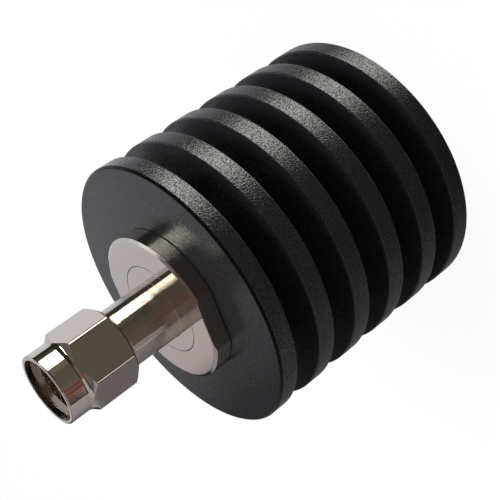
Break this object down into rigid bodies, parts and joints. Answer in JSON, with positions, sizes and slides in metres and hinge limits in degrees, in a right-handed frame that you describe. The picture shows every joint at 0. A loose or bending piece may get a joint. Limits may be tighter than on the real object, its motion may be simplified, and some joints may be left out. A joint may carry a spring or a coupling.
{
  "type": "rf dummy load",
  "caption": "Coaxial RF load: black disc-finned heat sink, nickel-plated flange with wrench flats, and a coaxial plug whose hex coupling nut spins; absorbs RF power as heat.",
  "frame": {"origin": "centre of the heat sink's flat back face, on which the part stands", "axes": "+Z along the axis towards the plug; the flange's two wrench flats face -Y and +Y"},
  "size_m": [0.032, 0.032, 0.0466],
  "materials": {
    "black_anodised": "black anodised, fine blasted grain",
    "thermal_paste": "matte paste",
    "nickel_plate": "bright nickel plate on brass",
    "spring_bronze": "plain bronze",
    "silicone": "matte",
    "gold_plate": "bright gold plate",
    "white_insulator": "waxy matte",
    "copper": "machined copper",
    "solder": "dull solder",
    "ceramic": "fired ceramic, opaque",
    "silver_pad": "fired silver",
    "resistive_film": "matte film",
    "glass_glaze": "glossy glaze, opaque"
  },
  "bodies": {
    "load": {"heat_sink": "black_anodised", "thermal_compound": "thermal_paste", "mounting_flange": "nickel_plate", "connector_body": "nickel_plate", "retaining_ring": "spring_bronze", "nut_gasket": "silicone", "centre_pin": "gold_plate", "front_insulator": "white_insulator", "rear_insulator": "white_insulator", "chip_carrier": "copper", "chip_solder": "solder", "chip_substrate": "ceramic", "input_pad": "silver_pad", "ground_pad": "silver_pad", "resistive_film": "resistive_film", "film_glaze": "glass_glaze", "contact_tab": "copper", "tab_solder": "solder"},
    "nut": {"coupling_nut": "nickel_plate"}
  },
  "joints": [
    {"name": "nut_spin", "type": "hinge", "parent": "load", "child": "nut", "pos_m": [0, 0, 0.0423], "axis": [0, 0, 1], "continuous": true}
  ]
}
